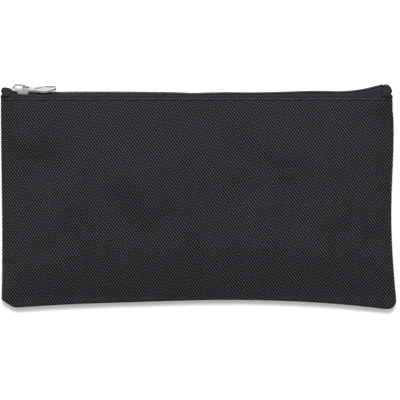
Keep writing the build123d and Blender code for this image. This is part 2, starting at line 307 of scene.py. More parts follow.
def woven_cloth():
    """Plain weave of black yarns that pass over each other by turns. The warp's crossings are painted
    light, a painted sheen, and the gaps between the yarns near black, a painted shade.
    """
    shader = Shader("panel_weave")
    u, v = shader.cloth_mm()
    place = shader.combine(u, v)
    drift = shader.math("SUBTRACT", shader.noise(place, scale=0.45), 0.5)
    drift = shader.math("MULTIPLY", drift, YARN_WANDER)
    lift = shader.math("SUBTRACT", shader.noise(place, scale=0.31), 0.5)
    lift = shader.math("MULTIPLY", lift, YARN_WANDER)
    across = shader.math("ADD", shader.math("DIVIDE", u, WARP_YARN), drift)
    along = shader.math("ADD", shader.math("DIVIDE", v, WEFT_YARN), lift)
    wave = shader.math("MULTIPLY", shader.sine(across), shader.sine(along))
    warp_crest = shader.math("POWER", shader.math("MAXIMUM", wave, 0.0), CREST_POWER)
    weft_up = shader.math("MAXIMUM", shader.math("MULTIPLY", wave, -1.0), 0.0)
    weft_crest = shader.math("POWER", weft_up, CREST_POWER)

    strand = shader.combine(across, shader.math("MULTIPLY", along, 0.06))
    yarn_tone = shader.vary(shader.noise(strand, scale=0.9), 0.9, 1.1)
    patch_tone = shader.vary(shader.noise(place, scale=0.035, detail=3.0), 0.9, 1.1)
    tone = shader.math("MULTIPLY", yarn_tone, patch_tone)
    # Painted shade in the gaps between the yarns, darker than the weft's crossings, and a painted sheen
    # on the warp's crossings.
    colour = shader.mix(weft_crest, grey(GAP_SHADE_GREY, INK), grey(WEFT_GREY, INK))
    colour = shader.mix(warp_crest, colour, grey(WARP_SHEEN_GREY, INK))
    toned = shader.add("ShaderNodeVectorMath", {0: colour, "Scale": tone}, operation="SCALE")

    fibre = shader.noise(shader.combine(shader.math("MULTIPLY", across, 6.0), along), scale=3.0)
    height = shader.math("ADD", warp_crest, shader.math("MULTIPLY", weft_crest, WEFT_RELIEF))
    height = shader.math("ADD", height, shader.math("MULTIPLY", fibre, FIBRE_RELIEF))
    shader.bump(height, depth_mm=0.3)
    crest = shader.math("MAXIMUM", warp_crest, shader.math("MULTIPLY", weft_crest, 0.5))
    shine = shader.remap(crest, 0.1, 0.9, 0.02, 0.3)
    return shader.finished(toned.outputs[0], roughness=0.7, specular=shine)


def tape_cloth(name, rib, level):
    """Fine zipper tape or binding: close ribs that slant one way and then the other."""
    shader = Shader(name)
    u, v = shader.cloth_mm()
    zigzag = shader.math("PINGPONG", shader.math("DIVIDE", v, rib * 3), 1.0)
    slant = shader.math("ADD", shader.math("DIVIDE", u, rib), shader.math("MULTIPLY", zigzag, 2.0))
    ribs = shader.math("ABSOLUTE", shader.sine(slant))
    speckle = shader.noise(shader.combine(u, v), scale=2.2, detail=3.0)
    # The grooves between the ribs are painted darker than the ribs, a painted shade.
    tone = shader.math("MULTIPLY", shader.vary(speckle, 0.8, 1.2), ribs)
    colour = shader.mix(tone, grey(level * 0.35, INK), grey(level, INK))
    shader.bump(ribs, depth_mm=0.12)
    return shader.finished(colour, roughness=0.95, specular=0.05)


def coated_backing():
    """The cloth's inner face: a thin black coating that lets the weave show faintly."""
    shader = Shader("coated_backing")
    u, v = shader.cloth_mm()
    across, along = shader.math("DIVIDE", u, WARP_YARN), shader.math("DIVIDE", v, WEFT_YARN)
    wave = shader.math("MULTIPLY", shader.sine(across), shader.sine(along))
    crease = shader.noise(shader.combine(u, v), scale=0.12, detail=4.0)
    colour = shader.mix(shader.vary(crease, 0.0, 1.0), grey(0.028, INK), grey(0.045, INK))
    shader.bump(shader.math("ADD", wave, shader.math("MULTIPLY", crease, 2.0)), depth_mm=0.08)
    return shader.finished(colour, roughness=0.6, specular=0.35)


def nylon():
    """Dark satin monofilament."""
    shader = Shader("nylon_coil")
    speckle = shader.noise(shader.object_mm(), scale=1.8, detail=3.0)
    colour = shader.mix(shader.vary(speckle, 0.0, 1.0), grey(0.022, INK), grey(0.04, INK))
    shader.bump(speckle, depth_mm=0.03)
    return shader.finished(colour, roughness=0.42, specular=0.4)


def sewing_thread(name, dark, light):
    """Twisted black thread."""
    shader = Shader(name)
    wave = {"Vector": shader.object_mm(), "Scale": 1.1, "Distortion": 1.5}
    twist = shader.add("ShaderNodeTexWave", wave, bands_direction="DIAGONAL").outputs["Fac"]
    shader.bump(twist, depth_mm=0.06)
    # The twist's ridges are painted lighter and its grooves darker: a painted highlight and painted
    # shade.
    colour = shader.mix(twist, grey(dark, INK), grey(light, INK))
    return shader.finished(colour, roughness=0.6, specular=0.35)


SHADED_NICKEL = (1.0, 0.985, 0.94)
BRIGHT_NICKEL = (1.0, 0.99, 0.96)


def plated_metal(name, level, roughness):
    """Cast metal with a nickel plating: bright, with soft ripples and hairline wear."""
    shader = Shader(name)
    place = shader.object_mm()
    wear = shader.noise(place, scale=3.5, detail=4.0)
    tone = shader.remap(wear, 0.35, 0.65, 0.0, 1.0)
    shaded, bright = grey(level * 0.86, SHADED_NICKEL), grey(level, BRIGHT_NICKEL)
    shader.set("Base Color", shader.mix(tone, shaded, bright))
    shader.set("Roughness", shader.vary(wear, roughness * 0.8, roughness * 1.3))
    shader.set("Metallic", 1.0)
    shader.bump(shader.noise(place, scale=0.5, detail=3.0), depth_mm=0.12)
    return shader.material


panel_cloth = woven_cloth()
backing = coated_backing()
zipper_tape_cloth = tape_cloth("tape_weave", rib=0.55, level=0.03)
binding_cloth = tape_cloth("binding_weave", rib=0.8, level=0.035)
coil_nylon = nylon()
hem_thread = sewing_thread("sewing_thread", dark=0.02, light=0.07)
tack_thread = sewing_thread("tack_thread", dark=0.01, light=0.025)
slider_metal = plated_metal("slider_nickel", level=0.42, roughness=0.3)
pull_metal = plated_metal("pull_nickel", level=0.46, roughness=0.24)


# ---- the pouch's outline ----

INWARD_SLACK = 0.15         # a point further inside its neighbours' chord isn't on the edge


def edge_line(node, axis, outward, start):
    """Points of a seam's outer edge beyond start, in order along axis, as seen from above."""
    points = np.unique(vertices_mm(node)[:, :2].round(2), axis=0)
    side = 1 - axis
    points = points[(points[:, side] - start) * outward > 0]
    points = points[np.argsort(points[:, axis])]
    while True:
        before, here, after = points[:-2], points[1:-1], points[2:]
        share = (here - before)[:, axis] / np.maximum((after - before)[:, axis], TINY)
        chord = before[:, side] + share * (after - before)[:, side]
        inside = (chord - here[:, side]) * outward > INWARD_SLACK
        if not inside.any():
            return points
        points = np.delete(points, 1 + np.flatnonzero(inside), axis=0)


def evenly(line, count):
    """count points evenly spaced along a line of points."""
    steps = np.linalg.norm(np.diff(line, axis=0), axis=1)
    walked = np.concatenate([[0], np.cumsum(steps)])
    places = np.linspace(0, walked[-1], count)
    return np.stack([np.interp(places, walked, line[:, i]) for i in range(2)], axis=1)


def softened(line, passes):
    """The line with its corners worn down, and its ends kept."""
    for _ in range(passes):
        line[1:-1] = (line[:-2] + 2 * line[1:-1] + line[2:]) / 4
    return line


EDGE_POINTS = 241
BOTTOM_MARGIN = 1.5         # a seam's outer edge lies at least this far outside the panel
SIDE_MARGIN = 2.0
BOTTOM_SOFTENING = 6        # passes that wear down the line's corners
SIDE_SOFTENING = 60

bottom_edge = edge_line("bottom_seam", 0, -1, PANEL_FOOT_Y - BOTTOM_MARGIN)
left_edge = edge_line("side_seam_left", 1, -1, PANEL_LEFT_X - SIDE_MARGIN)
right_edge = edge_line("side_seam_right", 1, 1, PANEL_RIGHT_X + SIDE_MARGIN)
bottom_edge = softened(evenly(bottom_edge, EDGE_POINTS), BOTTOM_SOFTENING)
left_edge = softened(evenly(np.vstack([bottom_edge[:1], left_edge[1:]]), EDGE_POINTS), SIDE_SOFTENING)
right_edge = softened(evenly(np.vstack([bottom_edge[-1:], right_edge[1:]]), EDGE_POINTS), SIDE_SOFTENING)
top_edge = evenly(np.vstack([left_edge[-1:], right_edge[-1:]]), EDGE_POINTS)
outline = np.vstack([left_edge[::-1], bottom_edge[1:-1], right_edge])


def at(line, share):
    """The point at each share of the way along a line."""
    places = np.linspace(0, 1, len(line))
    return np.stack([np.interp(share, places, line[:, i]) for i in range(2)], axis=-1)


def fill_outline(s, t):
    """Points inside the outline: s runs from left to right and t from the bottom to the hem."""
    s, t = np.meshgrid(s, t)
    ruled = (1 - t)[..., None] * at(bottom_edge, s) + t[..., None] * at(top_edge, s)
    ruled += (1 - s)[..., None] * at(left_edge, t) + s[..., None] * at(right_edge, t)
    corners = ((1 - s) * (1 - t))[..., None] * bottom_edge[0] + (s * (1 - t))[..., None] * bottom_edge[-1]
    corners += ((1 - s) * t)[..., None] * top_edge[0] + (s * t)[..., None] * top_edge[-1]
    return ruled - corners


def distance_inside(points):
    """How far each point is from the sewn outline."""
    starts, ends = outline[:-1], outline[1:]
    spans = ends - starts
    flat = points.reshape(-1, 1, 2)
    share = ((flat - starts) * spans).sum(2) / np.maximum((spans**2).sum(1), TINY)
    nearest = starts + np.clip(share, 0, 1)[..., None] * spans
    return np.linalg.norm(flat - nearest, axis=2).min(1).reshape(points.shape[:2])


# ---- the cloth's height ----

CROWN = 8.0
SIDE_POWER = 8
FRONT_POWER = 4
BACK_POWER = 6
HEM_POWER = 5
HEM_PINCH = 0.55            # how much of the hem's parting is lost at its ends
END_POWER = 14              # a high power keeps that loss close to the ends
CLOTH = 1.0                 # thickness of the woven cloth with its coating
HEM_ROUND = 1.1             # radius of the folded top edge
STITCH_Y = (box_mm("hem_stitching_front")[0][1] + box_mm("hem_stitching_front")[1][1]) / 2
STITCH_GROOVE = 0.75
STITCH_GROOVE_WIDTH = 0.55
BACK_BELLY = 0.6            # a wide shallow curve of the back, with its own power
BACK_BELLY_POWER = 2
FLOOR_GAP = 0.06            # how far the back's lowest cloth stands clear of the ground

# Uneven swellings of the cloth: height and size in millimetres, and the seed of the noise.
FRONT_WAVE = (0.8, 34, 1)
FRONT_RIPPLE = (0.18, 14, 2)
FRONT_PUCKER = (0.35, 5, 3)
BACK_WAVE = (0.25, 30, 5)
BACK_PUCKER = (0.3, 6, 6)
BACK_RIPPLE = (0.04, 9, 7)
PUCKER_REACH = 5.0          # how quickly the pucker dies away from the seam
STILL_HEM = 12.0            # the front's waves grow from nothing over this distance from the hem
STILL_RIM = 10.0            # and over this distance from the seams
STILL_FRONT_EDGE = 2.0      # the same for the front's pucker
STILL_BACK_EDGE = 3.0       # and for all the back's waves

# Soft dents and swellings of the front: place, half-length, half-width, turn in degrees, height.
FRONT_DENTS = [
    (-113, 20, 30, 18, 20, -3.2),
    (-50, 14, 40, 20, 15, 3.4),
    (0, 0, 26, 14, 20, 1.2),
    (37, 4, 13, 9, 0, -1.4),
    (118, -38, 24, 14, 60, -1.8),
    (124, 56, 16, 10, 30, -1.4),
    (78, -60, 22, 9, 10, -1.2),
    (60, 34, 40, 16, -20, 0.8),
    (0, -40, 60, 14, 5, 0.7),
]


def across_panel(x):
    """-1 at the panel's left edge and 1 at its right edge."""
    middle = (PANEL_LEFT_X + PANEL_RIGHT_X) / 2
    return np.clip((x - middle) / (PANEL_RIGHT_X - middle), -1, 1)


def along_panel(y):
    """-1 at the panel's foot and 1 at its hem."""
    middle = (PANEL_FOOT_Y + HEM_Y) / 2
    return np.clip((y - middle) / (HEM_Y - middle), -1, 1)


def swell(x, y, power):
    """1 at the panel's middle and 0 at its edges; a higher power makes it flatter."""
    return (1 - np.abs(across_panel(x)) ** SIDE_POWER) * (1 - np.abs(along_panel(y)) ** power)


def narrowed(x, share):
    """1 along most of the hem, less the given share at its ends."""
    return 1 - share * np.abs(across_panel(x)) ** END_POWER


def hem_lift(x, y):
    """How far front and back have parted round the zipper, from 0 at the seams to 1 at the hem."""
    return narrowed(x, HEM_PINCH) * ((1 + along_panel(y)) / 2) ** HEM_POWER


def turned_edge(distance, radius):
    """Rise of cloth that turns over an edge as a quarter circle."""
    reach = 1 - np.clip(distance / radius, 0, 1)
    return radius * np.sqrt(1 - reach**2)


def hem_fall(y):
    """How far the cloth falls back from its face: at the fold of the hem, and under the stitches."""
    fold = HEM_ROUND - turned_edge(HEM_Y - y, HEM_ROUND)
    groove = STITCH_GROOVE * np.exp(-(((y - STITCH_Y) / STITCH_GROOVE_WIDTH) ** 2))
    return fold + groove


def dents(x, y, places):
    total = np.zeros_like(x)
    for middle_x, middle_y, length, width, turn, height in places:
        c, s = math.cos(math.radians(turn)), math.sin(math.radians(turn))
        a = ((x - middle_x) * c + (y - middle_y) * s) / length
        b = (-(x - middle_x) * s + (y - middle_y) * c) / width
        total += height * np.exp(-(a**2) - b**2)
    return total


def waves(x, y, height, size, seed):
    return height * waver_grid(x, y, size, seed)


def front_height(x, y, distance):
    edge = SEAM_Z + turned_edge(distance, ROLL)
    hem = (FRONT_HEM_Z - SEAM_Z - ROLL) * hem_lift(x, y)
    body = CROWN * swell(x, y, FRONT_POWER)
    still = np.clip((HEM_Y - y) / STILL_HEM, 0, 1) * np.clip(distance / STILL_RIM, 0, 1)
    body += still * (dents(x, y, FRONT_DENTS) + waves(x, y, *FRONT_WAVE) + waves(x, y, *FRONT_RIPPLE))
    pucker = np.exp(-distance / PUCKER_REACH) * waves(x, y, *FRONT_PUCKER)
    pucker *= np.clip(distance / STILL_FRONT_EDGE, 0, 1)
    return edge + hem + body + pucker - hem_fall(y)


def back_height(x, y, distance):
    flat = swell(x, y, BACK_POWER)
    edge = SEAM_Z - turned_edge(distance, ROLL)
    hem = (SEAM_Z - ROLL - BACK_HEM_Z) * hem_lift(x, y) * (1 - flat)
    fall = (SEAM_Z - ROLL) * flat + BACK_BELLY * swell(x, y, BACK_BELLY_POWER)
    ripple = waves(x, y, *BACK_WAVE) + np.exp(-distance / PUCKER_REACH) * waves(x, y, *BACK_PUCKER)
    ripple *= np.clip(distance / STILL_BACK_EDGE, 0, 1)
    height = edge - hem - fall + ripple + hem_fall(y)
    return np.maximum(height, FLOOR_GAP + waves(x, y, *BACK_RIPPLE))


# ---- the woven panels ----

def graded(length, step, near):
    """Places from 0 to length: the given ones near each end, and steps between."""
    first = np.array(near)
    middle = np.linspace(first[-1], length - first[-1], int((length - 2 * first[-1]) / step) + 1)
    return np.concatenate([first, middle[1:-1], (length - first)[::-1]])


RIM_PLACES = [0, 0.06, 0.25, 0.55, 0.95, 1.4, 1.9, 2.5, 3.3, 4.4]
HEM_PLACES = [0, 0.06, 0.22, 0.45, 0.8, 1.15, 1.45, 1.7, 1.9, 2.1, 2.35, 2.65, 3.1, 3.8]
PANEL_STEP = 1.7
SEAM_INSET = 0.5            # how far the sewn line is drawn in from the turned edge
SEAM_WIDTH = 0.12           # and how quickly the cloth comes back out from it
SEAM_GAP = 0.02             # the inner faces stop this far from the line where they would meet
BIAS = 7.0                  # degrees that the weft rises to the right at the middle
BIAS_BEND = 0.0002          # and how fast that grows to the right, per millimetre
WARP_LEAN = 1.3


def panel_grid():
    """Columns and rows of the panels' grid as shares of their width and length."""
    width = top_edge[-1, 0] - top_edge[0, 0]
    height = HEM_Y - outline[:, 1].min()
    s = graded(width, PANEL_STEP, RIM_PLACES) / width
    split = (MOUTH_MID_X - top_edge[0, 0]) / width
    s[np.abs(s - split).argmin()] = split
    low_places = graded(height, PANEL_STEP, RIM_PLACES)
    high_places = height - graded(height, PANEL_STEP, HEM_PLACES)[::-1]
    half = height / 2
    t = np.concatenate([low_places[low_places < half], high_places[high_places >= half]]) / height
    return s, t


def cloth_uv(x, y):
    """Places in the weave, whose yarns lie a little aslant."""
    weft = y - x * math.tan(math.radians(BIAS)) - BIAS_BEND * x**2
    warp = x + y * math.tan(math.radians(WARP_LEAN))
    return np.stack([warp, weft], axis=-1)


def out_of_pouch(x, y):
    """The direction out of the pouch for points beyond the panel's sides or foot, and 0 for the rest."""
    sideways = np.sign(x) * (np.abs(across_panel(x)) > 0.99)
    downward = -1.0 * (y < PANEL_FOOT_Y)
    outward = np.stack([sideways, downward], axis=-1)
    return outward / np.maximum(np.linalg.norm(outward, axis=2, keepdims=True), 1.0)


def panel_surface(height, s, t, out):
    """Outer points, inner points and normals of a panel. out is 1 for the front and -1 for the back."""
    places = fill_outline(s, t)
    distance = distance_inside(places)
    x, y = places[..., 0].copy(), places[..., 1].copy()
    outer = np.stack([x, y, height(x, y, distance)], axis=-1)
    normals = out * grid_normals(outer)
    sewn = np.exp(-((distance / SEAM_WIDTH) ** 2))[..., None]
    outer[..., :2] -= SEAM_INSET * sewn * out_of_pouch(x, y)
    inner = outer - normals * CLOTH
    limit = SEAM_Z + SEAM_GAP * out
    beyond = (inner[..., 2] - limit) * out < 0
    near_seam = beyond & (distance < 3 * ROLL) & (np.abs(outer[..., 2] - SEAM_Z) < ROLL)
    inner[..., 2] = np.where(near_seam, limit, inner[..., 2])
    return outer, inner, normals


def shell(name, outer, inner, normals, out):
    """A closed piece of cloth from its outer and inner grids."""
    rows, columns = outer.shape[:2]
    count = rows * columns
    points = np.concatenate([outer.reshape(-1, 3), inner.reshape(-1, 3)])
    uv = np.concatenate([cloth_uv(outer[..., 0], outer[..., 1]).reshape(-1, 2)] * 2)
    outside = grid_faces(rows, columns, 0, flip=out < 0)
    inside = grid_faces(rows, columns, count, flip=out > 0)
    border = []
    bottom = list(range(columns))
    top = [count - columns + c for c in range(columns)]
    left = [r * columns for r in range(rows)]
    right = [r * columns + columns - 1 for r in range(rows)]
    for run, turn in ((bottom, False), (top, True), (left, True), (right, False)):
        for a, b in zip(run[:-1], run[1:]):
            quad = [a, a + count, b + count, b]
            border.append(quad[::-1] if turn == (out > 0) else quad)
    faces = outside + inside + border
    kinds = [0] * len(outside) + [1] * len(inside) + [0] * len(border)
    both = np.concatenate([normals.reshape(-1, 3), -normals.reshape(-1, 3)])
    return make_piece(name, points, faces, [panel_cloth, backing], uv, kinds, both)


def blend_left(piece):
    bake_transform(piece)


def blend_right(piece):
    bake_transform(piece)


def make_panels():
    s, t = panel_grid()
    outer, inner, normals = panel_surface(front_height, s, t, 1)
    split = int(np.abs(outer[-1, :, 0] - MOUTH_MID_X).argmin())
    halves = [
        ("front_cloth_left", slice(0, split + 1), blend_left),
        ("front_cloth_right", slice(split, None), blend_right),
    ]
    for name, part, blend in halves:
        piece = shell(name, outer[:, part], inner[:, part], normals[:, part], 1)
        blend(piece)
        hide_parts("front_panel")
    outer, inner, normals = panel_surface(back_height, s, t, -1)
    piece = shell("back_cloth", outer, inner, normals, -1)
    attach(piece, "back_side")
    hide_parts("back_panel", "side_seam_left", "side_seam_right", "bottom_seam")


# ---- the zipper ----

back_coil_low = box_mm("zipper_coil_back")[0]
CHAIN_ROLL = math.radians(8)
CHAIN_LIFT = 0.95           # from the CAD coil's underside up to the chain's middle
CHAIN_Y = back_coil_low[1] + CHAIN_LIFT
CHAIN_Z = (back_coil_low[2] + box_mm("zipper_coil_front")[1][2]) / 2
LEFT_OVERLAP = 2            # how far the chain runs into each end tab
RIGHT_OVERLAP = 3
CHAIN_START_X = box_mm("zipper_tab_left")[1][0] - LEFT_OVERLAP
CHAIN_END_X = box_mm("zipper_tab_right")[0][0] + RIGHT_OVERLAP

# The chain climbs towards its ends: where a climb starts, its run, its height and its power.
RIGHT_CLIMB = (98.0, 35, 5.5, 1.6)
LEFT_CLIMB = (-104.0, -30, 1.0, 1.5)

# The chain isn't quite straight between its ends: place, half-length and height of each soft rise.
CHAIN_RISES = [
    (-70, 52, 0.62),
    (-4, 9, -0.45),
    (22, 8, 0.2),
    (85, 28, 1.15),
    (130, 11, 0.75),
]
TOOTH_PITCH = 1.27
TOOTH_STEPS = 14            # points along one turn of the coil
WIRE = 0.31
CORE = 0.3                  # radius of the cord that the coil is wound round
CORE_STEP = 1.5
LOOP_REACH = 1.5
LOOP_RISE = 0.48
LOOP_MIDDLE = 1.28
LOOP_LEVEL = 0.2
TAPE = 0.5
TAPE_STEP = 2.0
TAPE_INNER = 0.25           # the tape's inner edge stands this far from the chain's middle
TAPE_LEVEL = -0.87
TAPE_BEND = 3.9             # where the tape turns down into the pouch
TAPE_NARROWING = 1.1        # how much nearer that is where the tape runs into the left tab
NARROWING_END = 5.0         # distance from the chain's start at which the tape has its full width
NARROWING_LENGTH = 4.0
TAPE_TUCK_Y = HEM_Y - 8     # the tape's edge inside the pouch
FRONT_TUCK = 3.6            # and its distance from the level of the seams
BACK_TUCK = 2.4
TUCK_PINCH = 0.35           # how much of that distance is lost at the hem's ends
TUCK_SLACK = 0.5
DROP_TO_TUCK = 0.38         # where it clears the hem, as a share of the way from its turn to its edge

# The tape's turn into the pouch: reach beyond its bend, and fall below its level.
TAPE_TURN = [(-1.0, 0.0), (0.0, 0.35), (0.15, 1.4)]


def climb(x, start, run, height, power):
    return height * np.clip((x - start) / run, 0, None) ** power


def chain_rise(x):
    """How far the chain lies above its level at x."""
    rise = climb(x, *RIGHT_CLIMB) + climb(x, *LEFT_CLIMB)
    for middle, reach, height in CHAIN_RISES:
        rise = rise + height * np.exp(-(((x - middle) / reach) ** 2))
    return rise


def chain_point(x, reach, level):
    """A point of the chain's cross-section at x: reach is positive to the front, level outward."""
    y = CHAIN_Y + chain_rise(x) - reach * math.sin(CHAIN_ROLL) + level * math.cos(CHAIN_ROLL)
    z = CHAIN_Z + reach * math.cos(CHAIN_ROLL) + level * math.sin(CHAIN_ROLL)
    return np.stack([x, y, z + 0 * x], axis=-1)


def coil_line(side, low_x, high_x):
    """One nylon helix. The front and back ones are half a tooth apart, so that their heads mesh."""
    count = int((high_x - low_x) / TOOTH_PITCH * TOOTH_STEPS)
    x = np.linspace(low_x, high_x, count)
    turn = 2 * math.pi * x / TOOTH_PITCH + (0 if side > 0 else math.pi)
    reach = side * (LOOP_MIDDLE - LOOP_REACH * np.cos(turn))
    level = LOOP_LEVEL + LOOP_RISE * np.sin(turn)
    return chain_point(x, reach, level)


def make_coil(name, side, low_x, high_x):
    core_x = np.arange(low_x, high_x, CORE_STEP)
    core = chain_point(core_x, side * LOOP_MIDDLE, LOOP_LEVEL)
    coil_points, coil_faces = tubes([coil_line(side, low_x, high_x)], WIRE, 6)
    core_points, core_faces = tubes([core], CORE, 8)
    core_faces = [[corner + len(coil_points) for corner in face] for face in core_faces]
    points = np.concatenate([coil_points, core_points])
    piece = make_piece(name, points, coil_faces + core_faces, [coil_nylon])
    return piece


def tape_profile(x, side):
    """The tape's middle line at x, from its inner edge under the coil to its edge inside the pouch."""
    narrowing = np.clip((CHAIN_START_X + NARROWING_END - x) / NARROWING_LENGTH, 0, 1)
    reach = TAPE_BEND - TAPE_NARROWING * narrowing
    tuck_z = SEAM_Z + side * (FRONT_TUCK if side > 0 else BACK_TUCK) * narrowed(x, TUCK_PINCH)
    inner_edge = chain_point(x, side * TAPE_INNER, TAPE_LEVEL)
    turn = [chain_point(x, side * (reach + beyond), TAPE_LEVEL - fall) for beyond, fall in TAPE_TURN]
    tuck = np.array([x, TAPE_TUCK_Y, tuck_z])
    hem = turn[-1] * (1 - DROP_TO_TUCK) + tuck * DROP_TO_TUCK
    hem[2] = side * min(side * hem[2], side * tuck_z + TUCK_SLACK)
    corners = np.array([inner_edge, *turn, hem, tuck])
    places = np.linspace(0, 1, len(corners))
    fine = np.linspace(0, 1, 16)
    line = np.stack([np.interp(fine, places, corners[:, i]) for i in range(3)], axis=1)
    return softened(line, 2)


def make_tape(name, side, low_x, high_x):
    stations = np.linspace(low_x, high_x, int((high_x - low_x) / TAPE_STEP) + 2)
    points, uv = [], []
    for x in stations:
        line = tape_profile(x, side)
        steps = np.gradient(line, axis=0)
        across = np.stack([np.zeros(len(line)), -steps[:, 2], steps[:, 1]], axis=1)
        across /= np.linalg.norm(across, axis=1, keepdims=True)
        ring = np.concatenate([line + across * TAPE / 2, (line - across * TAPE / 2)[::-1]])
        walked = np.concatenate([[0], np.cumsum(np.linalg.norm(np.diff(line, axis=0), axis=1))])
        points.append(ring)
        uv.append(np.stack([np.full(len(ring), x), np.concatenate([walked, walked[::-1]])], axis=1))
    faces = ring_faces(len(stations), len(points[0]), flip=side < 0)
    piece = make_piece(name, np.concatenate(points), faces, [zipper_tape_cloth], np.concatenate(uv))
    return piece


def make_zipper():
    for maker, word in ((make_coil, "coil"), (make_tape, "tape")):
        left = maker(f"{word}_front_left", 1, CHAIN_START_X, MOUTH_MID_X)
        right = maker(f"{word}_front_right", 1, MOUTH_MID_X, CHAIN_END_X)
        blend_left(left)
        blend_right(right)
        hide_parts(f"zipper_{word}_front")
        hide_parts(f"zipper_{word}_front")
        back = maker(f"{word}_back", -1, CHAIN_START_X, CHAIN_END_X)
        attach(back, "back_side")
        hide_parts(f"zipper_{word}_back")


# ---- end tabs ----

TAB_STATIONS = 30
TAB_AROUND = 48
TAB_SINK = 1.0              # how far a tab's foot lies below the CAD tab's, inside the hem
NOTCH = 1.6                 # depth of the nick between a tab and the side seam's end
NOTCH_Y = HEM_Y + 3.0
NOTCH_WIDTH = 0.75
TAB_CROWDING = 1.6          # above 1 brings the stations nearer together at the pinched end
PINCHED_THICKNESS = 0.35    # shares of the CAD tab's thickness: at the pinched end ...
ADDED_THICKNESS = 0.5       # ... and what the tab gains from there
TAB_BULGE = 0.22
TAB_CREASE = 0.1


def squared(value, power):
    """A cosine or sine brought nearer to 1 or -1, which squares off the circle that it draws."""
    return math.copysign(abs(value) ** power, value)


def make_tab(name, node, outer_x, inner_x, peak, inner_peak, squareness):
    """Cloth folded over the zipper's end. Its outer end is pinched shut and its inner end is open."""
    low, high = box_mm(node)
    foot = low[1] - TAB_SINK
    side = math.copysign(1, inner_x - outer_x)
    points, uv = [], []
    for station in range(TAB_STATIONS):
        share = (station / (TAB_STATIONS - 1)) ** TAB_CROWDING
        x = outer_x + (inner_x - outer_x) * share
        pinch = (1 - (1 - share) ** squareness) ** (1 / 3)
        head = foot + (peak + (inner_peak - peak) * share**5 - foot) * pinch
        half_y = (head - foot) / 2
        half_z = (high[2] - low[2]) / 2 * (PINCHED_THICKNESS + ADDED_THICKNESS * pinch)
        for step in range(TAB_AROUND):
            turn = 2 * math.pi * step / TAB_AROUND
            c, s = math.cos(turn), math.sin(turn)
            y = foot + half_y + half_y * squared(s, power=0.75)
            z = CHAIN_Z + half_z * squared(c, power=0.7)
            nick = NOTCH * math.exp(-(((y - NOTCH_Y) / NOTCH_WIDTH) ** 2)) * (1 - share) ** 3
            swelling = TAB_BULGE * waver(x, y, 3.0, 11) + TAB_CREASE * waver(x, z, 1.6, 12)
            points.append((x + side * nick, y + 0.5 * swelling * s, z + swelling * c))
            uv.append((x, y + 2 * half_z * step / TAB_AROUND))
    faces = ring_faces(TAB_STATIONS, TAB_AROUND, flip=inner_x < outer_x)
    piece = make_piece(name, np.array(points), faces, [panel_cloth], np.array(uv))
    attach(piece, "back_side")
    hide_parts(node)


def make_tabs():
    low, high = box_mm("zipper_tab_left")
    ends = {"outer_x": low[0], "inner_x": high[0] + 1.2}
    peaks = {"peak": high[1] + 0.4, "inner_peak": high[1] - 1.6}
    make_tab("end_tab_left", "zipper_tab_left", **ends, **peaks, squareness=14)
    low, high = box_mm("zipper_tab_right")
    ends = {"outer_x": high[0], "inner_x": low[0] + 2}
    peaks = {"peak": high[1], "inner_peak": high[1] - 1.4}
    make_tab("end_tab_right", "zipper_tab_right", **ends, **peaks, squareness=4)


# ---- sewing ----

STITCH = 2.2
STITCH_GAP = 0.35
STITCH_RISE = 0.28
STITCH_SLANT = 0.06
STITCH_SINK = 0.75          # share of a stitch's bow that lies under the cloth's face
THREAD_RADIUS = 0.21
THREAD_Y = STITCH_Y + 1.2   # the stitches lie on the hem's rounded edge, above its groove
HEM_MARGIN = 4.0            # the stitching stops this far from the pouch's sides
CLEAR_OF_SEAMS = 30.0       # a distance from the seams at which they don't pull on the cloth
TACK_STEP = 0.85
TACK_SLANT = 0.8
TACK_RISE = 0.3
tab_low, tab_high = box_mm("zipper_tab_left")
TACK_Z = CHAIN_Z + (tab_high[2] - tab_low[2]) / 2 * 0.85

# Each bar tack: its tab, its margins from the tab's left and right, and where it starts and ends
# above the tab's foot.
TACKS = [
    ("left", 1.5, 1.2, 1.0, 3.6),
    ("right", 3.0, 2.0, 1.5, 4.5),
]


def stitch_line(start, end, rise):
    """One stitch: it comes up out of the cloth, lies on it and goes down again."""
    shares = np.linspace(0, 1, 7)[:, None]
    bow = np.sin(math.pi * shares) ** 0.6
    return start + (end - start) * shares + rise * (bow - STITCH_SINK)


def make_stitches(name, lines, material):
    points, faces = tubes(lines, THREAD_RADIUS, 6)
    piece = make_piece(name, points, faces, [material])
    return piece


def make_hem_stitches(name, height, out, low_x, high_x):
    """A row of stitches on the front's hem, where out is 1, or on the back's, where it is -1."""
    y = np.array([THREAD_Y - STITCH_SLANT, THREAD_Y + STITCH_SLANT])
    rise = np.array([0, 0, out * STITCH_RISE])
    lines = []
    for low in np.arange(low_x, high_x - STITCH, STITCH):
        x = np.array([low + STITCH_GAP / 2, low + STITCH - STITCH_GAP / 2])
        start, end = np.stack([x, y, height(x, y, np.full(2, CLEAR_OF_SEAMS))], axis=1)
        lines.append(stitch_line(start, end, rise))
    return make_stitches(name, lines, hem_thread)


def make_hem_stitching():
    first, last = left_edge[-1, 0] + HEM_MARGIN, right_edge[-1, 0] - HEM_MARGIN
    left = make_hem_stitches("hem_stitches_front_left", front_height, 1, first, MOUTH_MID_X)
    right = make_hem_stitches("hem_stitches_front_right", front_height, 1, MOUTH_MID_X, last)
    back = make_hem_stitches("hem_stitches_back", back_height, -1, first, last)
    blend_left(left)
    blend_right(right)
    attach(back, "back_side")
    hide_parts("hem_stitching_front")
    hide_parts("hem_stitching_front")
    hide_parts("hem_stitching_back")


